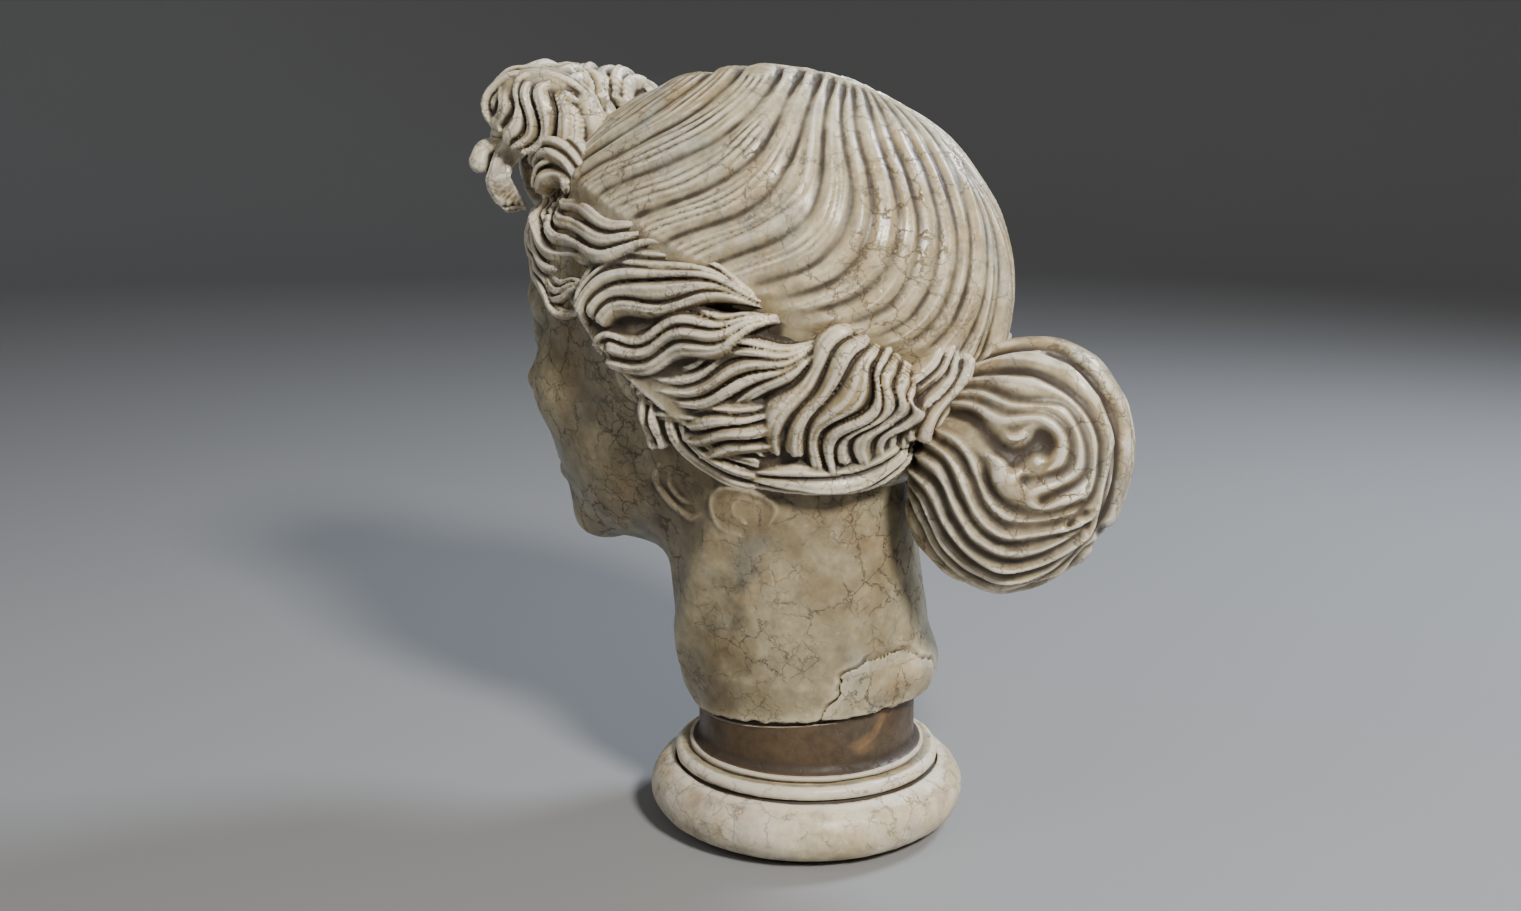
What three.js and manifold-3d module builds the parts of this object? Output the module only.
// A life-size marble head on a turned socle, as a museum mounts it: the old head is pinned through
// a new neck collar to the socle, and its bun, hair bow and a nape fragment are pieces of their own.
// Millimetres. +Z is up, the face looks along -Y, and +X is the figure's left side.
// The origin is the centre of the base, on the surface that the bust stands on.
import * as THREE from "three";
import { mergeVertices } from "three/addons/utils/BufferGeometryUtils.js";
import Module from "manifold-3d";

const wasm = await Module();
wasm.setup();

// Driving dimensions
const GAP = 0.3; // between pieces that were cut from one another
const BASE_R = 78.5;
const TORUS_R = 14.2; // half the height of the socle's rounded foot
const RIM_R = 65;
const SOCLE_TOP = 38;
const COLLAR_R = 54;
const FELT_T = 2;
const BREAK_Z = 63; // height of the neck's break on the axis
const BREAK_SLOPE = 0.105; // the break rises towards the nape
const MORTAR_T = 1.6;
const ROD_R = 6;
const ROD_TOP = 168;
const RESIN_R = 10;
const RECESS_R = 24; // the recess for the nut, under the socle
const RECESS_TOP = 20;
const WASHER = { r: 20, t: 3 };
const NUT = { acrossFlats: 19, t: 10 };
const PIN_R = 3;
const DOWEL_R = 4;
const CRANIUM = { at: [0, -25, 266], size: [88, 125, 103] };
const BUN = { at: [0, 107, 188], size: [50, 50, 62], tilt: 0.42 };
const BUN_SEAT = { at: [0, 75, 205], normal: [0, 0.938, -0.347] };
const BOW_SEAT = { at: [0, -126, 336], normal: [0, -0.3, 0.954] };
const FAR = 600; // larger than the whole object

// A three.js geometry as a solid.
function solid(geometry) {
  const bare = geometry.clone();
  bare.deleteAttribute("normal");
  bare.deleteAttribute("uv");
  const merged = mergeVertices(bare, 1e-4);
  return new wasm.Manifold(
    new wasm.Mesh({
      numProp: 3,
      vertProperties: new Float32Array(merged.attributes.position.array),
      triVerts: new Uint32Array(merged.index.array),
    }),
  );
}

// A solid as a three.js geometry.
function geometryOf(shape) {
  const mesh = shape.getMesh();
  const geometry = new THREE.BufferGeometry();
  geometry.setAttribute("position", new THREE.BufferAttribute(mesh.vertProperties, 3));
  geometry.setIndex(new THREE.BufferAttribute(mesh.triVerts, 1));
  const flat = geometry.toNonIndexed();
  flat.computeVertexNormals();
  return flat;
}

const union = (parts) => parts.reduce((sum, part) => sum.add(part));

// The largest piece of a shape, with any sealed hollow between its parts filled.
function filled(shape) {
  const shells = shape.decompose().sort((a, b) => b.volume() - a.volume());
  return shells[0];
}

// An ellipsoid, tilted about X and then turned about Z.
function ellipsoid({ at, size, tilt = 0, turn = 0, around = 18, rings = 11 }) {
  const geometry = new THREE.SphereGeometry(1, around, rings);
  geometry.rotateX(Math.PI / 2);
  geometry.scale(...size);
  geometry.rotateX(-tilt);
  geometry.rotateZ(turn);
  geometry.translate(...at);
  return solid(geometry);
}

// A turned solid from [radius, height] points that start and end on the axis, from the bottom up.
function turned(profile, segments = 48) {
  const points = profile.map(([r, z]) => new THREE.Vector2(r, z));
  const geometry = new THREE.LatheGeometry(points, segments);
  geometry.rotateX(Math.PI / 2);
  return solid(geometry);
}

// A round bar from one point to another.
function bar(radius, from, to, segments = 16) {
  const start = new THREE.Vector3(...from);
  const along = new THREE.Vector3(...to).sub(start);
  const geometry = new THREE.CylinderGeometry(radius, radius, along.length(), segments);
  geometry.translate(0, along.length() / 2, 0);
  const toAxis = new THREE.Quaternion();
  toAxis.setFromUnitVectors(new THREE.Vector3(0, 1, 0), along.clone().normalize());
  geometry.applyQuaternion(toAxis);
  geometry.translate(...from);
  return solid(geometry);
}

// All space on the far side of a plane, as a large box whose near face is that plane.
function beyond(at, normal, shift = 0) {
  const towards = new THREE.Vector3(...normal).normalize();
  const geometry = new THREE.BoxGeometry(FAR, FAR, FAR);
  geometry.translate(0, 0, FAR / 2 + shift);
  geometry.applyQuaternion(new THREE.Quaternion().setFromUnitVectors(new THREE.Vector3(0, 0, 1), towards));
  geometry.translate(...at);
  return solid(geometry);
}

// Points on a quarter or half round, for turned profiles.
function arc(r, z, radius, from, to, steps) {
  return Array.from({ length: steps + 1 }, (_, i) => {
    const angle = THREE.MathUtils.degToRad(from + ((to - from) * i) / steps);
    return [r + radius * Math.cos(angle), z + radius * Math.sin(angle)];
  });
}

// A point on a joint face, moved along the joint's normal and sideways on it.
function onSeat(seat, along, up = 0, side = 0) {
  const normal = new THREE.Vector3(...seat.normal).normalize();
  const across = new THREE.Vector3(1, 0, 0);
  const upward = new THREE.Vector3().crossVectors(normal, across).normalize();
  const point = new THREE.Vector3(...seat.at);
  point.addScaledVector(normal, along).addScaledVector(upward, up).addScaledVector(across, side);
  return point.toArray();
}

const breakNormal = [0, -BREAK_SLOPE, 1];
const breakAt = (lift) => [0, 0, BREAK_Z + lift];

// Base: felt, socle, collar and the mortar bed
const rodHole = bar(ROD_R + GAP, [0, 0, 0], [0, 0, ROD_TOP + 4]);

function felt() {
  return turned([[0, 0], [BASE_R - 14, 0], [BASE_R - 14, FELT_T], [0, FELT_T]]);
}

function socle() {
  const midZ = FELT_T + TORUS_R;
  const foot = arc(BASE_R - TORUS_R, midZ, TORUS_R, -90, 90, 10);
  const hollow = arc(RIM_R + 0.5, FELT_T + 2 * TORUS_R + 1.6, 3.2, -110, -200, 4);
  const rim = arc(RIM_R - 2.4, SOCLE_TOP - 2.6, 2.5, -70, 90, 5);
  const profile = [[0, FELT_T], ...foot, ...hollow, ...rim, [0, SOCLE_TOP]];
  const recess = bar(RECESS_R, [0, 0, -1], [0, 0, RECESS_TOP], 32);
  return turned(profile, 64).subtract(recess).subtract(rodHole).subtract(collarPinHole());
}

function collar() {
  const flare = arc(COLLAR_R + 5.5, SOCLE_TOP + 7.5, 5.5, -100, -180, 4);
  const profile = [[0, SOCLE_TOP], [COLLAR_R + 5, SOCLE_TOP], ...flare, [COLLAR_R, 80], [0, 80]];
  const above = beyond(breakAt(-MORTAR_T), breakNormal);
  return turned(profile).subtract(above).subtract(rodHole).subtract(collarPinHole()).subtract(neckPinHole());
}

function mortarBed() {
  const bed = turned([[0, 40], [COLLAR_R - 2, 40], [COLLAR_R - 2, 90], [0, 90]]);
  const above = beyond(breakAt(0), breakNormal, -0.05);
  const below = beyond(breakAt(-MORTAR_T), breakNormal.map((v) => -v), -0.05);
  return bed.subtract(above).subtract(below).subtract(rodHole).subtract(neckPinHole());
}

// Fixings on the axis, and the pins that stop the stones from turning
const collarPin = { from: [0, 34, 22], to: [0, 34, 52] };
const neckPin = { from: [0, -34, 44], to: [0, -34, 82] };
const withRoom = ({ from, to }) => bar(PIN_R + GAP, [from[0], from[1], from[2] - 1], [to[0], to[1], to[2] + 1]);
const collarPinHole = () => withRoom(collarPin);
const neckPinHole = () => withRoom(neckPin);

function rod() {
  return bar(ROD_R, [0, 0, FELT_T + 1], [0, 0, ROD_TOP], 20);
}

function washer() {
  const plate = bar(WASHER.r, [0, 0, RECESS_TOP - WASHER.t], [0, 0, RECESS_TOP], 28);
  return plate.subtract(rodHole);
}

function nut() {
  const top = RECESS_TOP - WASHER.t;
  const corner = NUT.acrossFlats / Math.sqrt(3);
  return bar(corner, [0, 0, top - NUT.t], [0, 0, top], 6).subtract(rodHole);
}

function resin() {
  const socket = bar(RESIN_R, [0, 0, BREAK_Z + 8], [0, 0, ROD_TOP + 8], 20);
  return socket.subtract(rodHole);
}

// Head, with its neck, the roll of hair round it and the roots of the bun and bow
function neck() {
  const profile = [[0, 50], [54, 50], [56, 70], [57.5, 86], [58, 104], [58.5, 130], [62, 160], [66, 185], [0, 185]];
  const geometry = new THREE.LatheGeometry(profile.map(([r, z]) => new THREE.Vector2(r, z)), 36);
  geometry.rotateX(Math.PI / 2);
  geometry.scale(1, 1.07, 1);
  const lean = new THREE.Matrix4().makeShear(0, 0, 0, 0, 0, -0.08);
  geometry.translate(0, 0, -60).applyMatrix4(lean).translate(0, 0, 60);
  return solid(geometry);
}

function face() {
  return union([
    ellipsoid({ at: [0, -62, 222], size: [68, 82, 88], around: 24, rings: 16 }),
    ellipsoid({ at: [0, -62, 176], size: [56, 58, 44] }),
    ellipsoid({ at: [0, -110, 149], size: [24, 19, 19], around: 14, rings: 9 }),
    ellipsoid({ at: [0, -140, 214], size: [14, 19, 24], tilt: -0.3, around: 12, rings: 9 }),
  ]);
}

// Each lock of the side roll: where its thick middle lies on the left side, its half sizes across,
// along and through, how far it slopes down towards the nape and how it is turned with the head.
const sideLocks = [
  { at: [30, -132, 316], size: [26, 20, 18], slope: 0, turn: 0.3 },
  { at: [52, -112, 294], size: [17, 36, 19], slope: 0.1, turn: -0.7 },
  { at: [70, -78, 282], size: [18, 44, 20], slope: 0.1, turn: -0.42 },
  { at: [82, -30, 262], size: [14, 54, 21], slope: 0.18, turn: -0.05 },
  { at: [81, -18, 234], size: [15, 56, 21], slope: -0.15, turn: 0.05 },
  { at: [70, 20, 214], size: [19, 42, 24], slope: 0.1, turn: 0.35 },
  { at: [52, 52, 210], size: [24, 34, 38], slope: 0.2, turn: 0.7 },
  { at: [28, 66, 196], size: [30, 26, 34], slope: 0.1, turn: 1.1 },
];

function sideRoll() {
  const locks = [];
  for (const { at, size, slope, turn } of sideLocks) {
    for (const side of [1, -1]) {
      const centre = [at[0] * side, at[1], at[2]];
      locks.push(ellipsoid({ at: centre, size, tilt: slope, turn: turn * side, around: 12, rings: 8 }));
    }
  }
  return union(locks);
}

const bunSolid = (extra = 0) => ellipsoid({ ...BUN, size: BUN.size.map((v) => v + extra), around: 24, rings: 16 });

function bowSolid(extra = 0) {
  const loop = [29, 23, 20].map((v) => v + extra);
  const loops = [1, -1].map((side) => ellipsoid({ at: [33 * side, -137, 352], size: loop, turn: 0.12 * side }));
  const middle = [17, 21, 18].map((v) => v + extra);
  return union([...loops, ellipsoid({ at: [0, -134, 348], size: middle })]);
}

// What of a shape lies on the outer side of a joint face.
const outside = (shape, seat, shift = 0) => shape.intersect(beyond(seat.at, seat.normal, shift));

// Dowels across the joint faces of the bun and the bow
const bunDowels = [16, -16].map((up) => ({ from: onSeat(BUN_SEAT, -26, up), to: onSeat(BUN_SEAT, 26, up) }));
const bowDowel = { from: onSeat(BOW_SEAT, -24), to: onSeat(BOW_SEAT, 18) };

function dowelHole({ from, to }) {
  const start = new THREE.Vector3(...from);
  const end = new THREE.Vector3(...to);
  const room = end.clone().sub(start).setLength(1); // 1 mm of room at each end
  return bar(DOWEL_R + GAP, start.sub(room).toArray(), end.add(room).toArray());
}

// The glued fragment: a wedge at the back of the neck, on the left of the nape
function fragmentWedge(extra) {
  const geometry = new THREE.BoxGeometry(74 + 2 * extra, 34 + 2 * extra, 60 + 2 * extra);
  geometry.rotateX(-0.35);
  geometry.rotateZ(-0.45);
  geometry.translate(26, 62, 70);
  return solid(geometry);
}

function headBlock() {
  const bunRoot = bunSolid().subtract(beyond(BUN_SEAT.at, BUN_SEAT.normal));
  const bowRoot = ellipsoid({ at: [0, -116, 318], size: [46, 34, 26] });
  const skull = ellipsoid({ ...CRANIUM, around: 32, rings: 20 });
  const below = beyond(breakAt(0), breakNormal.map((v) => -v));
  const whole = union([skull, face(), neck(), sideRoll(), bunRoot, bowRoot]).subtract(below);
  return filled(whole.subtract(outside(bunSolid(1), BUN_SEAT)).subtract(outside(bowSolid(1), BOW_SEAT)));
}

const block = headBlock();

function head() {
  const socket = bar(RESIN_R + 0.1, [0, 0, 40], [0, 0, ROD_TOP + 8.1], 20);
  const holes = [socket, neckPinHole(), dowelHole(bowDowel), ...bunDowels.map(dowelHole)];
  return holes.reduce((left, hole) => left.subtract(hole), block.subtract(fragmentWedge(GAP)));
}

const napeFragment = () => block.intersect(fragmentWedge(0));

function bun() {
  const shape = outside(bunSolid(), BUN_SEAT, GAP);
  return bunDowels.reduce((left, dowel) => left.subtract(dowelHole(dowel)), shape);
}

const bow = () => outside(bowSolid(), BOW_SEAT, GAP).subtract(dowelHole(bowDowel));

const dowelBar = ({ from, to }) => bar(DOWEL_R, from, to);
const pinBar = ({ from, to }) => bar(PIN_R, from, to);

// Materials
const material = (color, roughness, metalness = 0) => new THREE.MeshStandardMaterial({ color, roughness, metalness });
const oldMarble = material(0xb5a88c, 0.45);
const hairMarble = material(0xa3947a, 0.42);
const newMarble = material(0xa9957a, 0.5);
const steel = material(0xb9bbbd, 0.35, 1);
const brass = material(0xb08d4c, 0.4, 1);
const resinGrey = material(0x8b8478, 0.7);
const feltGreen = material(0x33402f, 0.95);

const bust = new THREE.Group();

function place(name, shape, look) {
  const mesh = new THREE.Mesh(geometryOf(shape), look);
  mesh.name = name;
  bust.add(mesh);
}

place("base_felt", felt(), feltGreen);
place("socle", socle(), newMarble);
place("neck_collar", collar(), newMarble);
place("mortar_bed", mortarBed(), resinGrey);
place("head", head(), oldMarble);
place("nape_fragment", napeFragment(), oldMarble);
place("hair_bun", bun(), hairMarble);
place("hair_bow", bow(), hairMarble);
place("mounting_rod", rod(), steel);
place("rod_resin", resin(), resinGrey);
place("rod_washer", washer(), steel);
place("rod_nut", nut(), steel);
place("collar_pin", pinBar(collarPin), steel);
place("neck_pin", pinBar(neckPin), steel);
place("bow_dowel", dowelBar(bowDowel), brass);
bunDowels.forEach((dowel, i) => place(`bun_dowel_${i + 1}`, dowelBar(dowel), brass));

export default bust;
